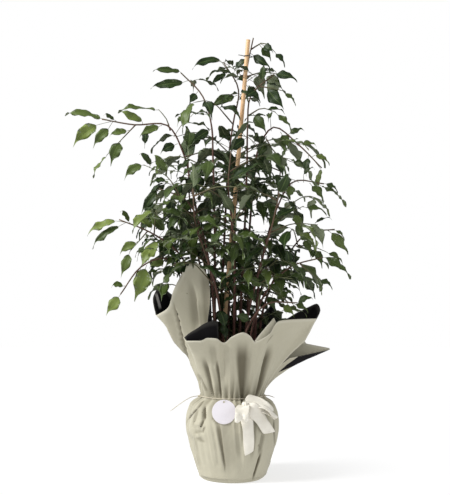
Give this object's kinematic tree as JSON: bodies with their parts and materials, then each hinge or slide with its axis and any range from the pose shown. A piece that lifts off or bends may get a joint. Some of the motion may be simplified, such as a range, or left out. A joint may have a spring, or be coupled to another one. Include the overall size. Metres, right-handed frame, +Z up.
{
  "type": "potted plant",
  "caption": "Weeping fig with thin leafy stems and a cane, its pot gathered into two-tone wrapping paper tied with twine, a satin bow and a round tag.",
  "frame": {"origin": "on the floor, under the middle of the pot", "axes": "+Z up, -Y towards the front, where the bow and the tag are, +X to the right of a viewer at the front"},
  "size_m": [0.6016, 0.4042, 0.9454],
  "materials": {
    "fig": "satin",
    "pot_plastic": "matte",
    "soil": "matte",
    "bamboo": "satin",
    "tie": "matte",
    "wrapping_paper": "matte",
    "twine": "matte",
    "satin": "satin",
    "card": "matte"
  },
  "bodies": {
    "root": {"leafy_stem_back_left": "fig", "leafy_stem_back_middle": "fig", "leafy_stem_back_right": "fig", "leafy_stem_crown": "fig", "leafy_stem_front_left": "fig", "leafy_stem_front_low": "fig", "leafy_stem_front_middle": "fig", "leafy_stem_front_right": "fig", "leafy_stem_left_arm": "fig", "leafy_stem_left_high": "fig", "leafy_stem_left_low": "fig", "leafy_stem_left_middle": "fig", "leafy_stem_right_arm": "fig", "leafy_stem_right_low": "fig", "leafy_stem_right_middle": "fig", "leafy_stem_right_outer": "fig", "leafy_stem_top_left": "fig", "leafy_stem_top_right": "fig", "leafy_stem_upper_left": "fig", "nursery_pot": "pot_plastic", "soil": "soil", "cane": "bamboo", "plant_tie": "tie", "wrap_back_sheet": "wrapping_paper", "wrap_front_sheet": "wrapping_paper", "tie_twine": "twine", "ribbon_bow": "satin", "tag": "card", "tag_thread": "twine"}
  },
  "joints": []
}
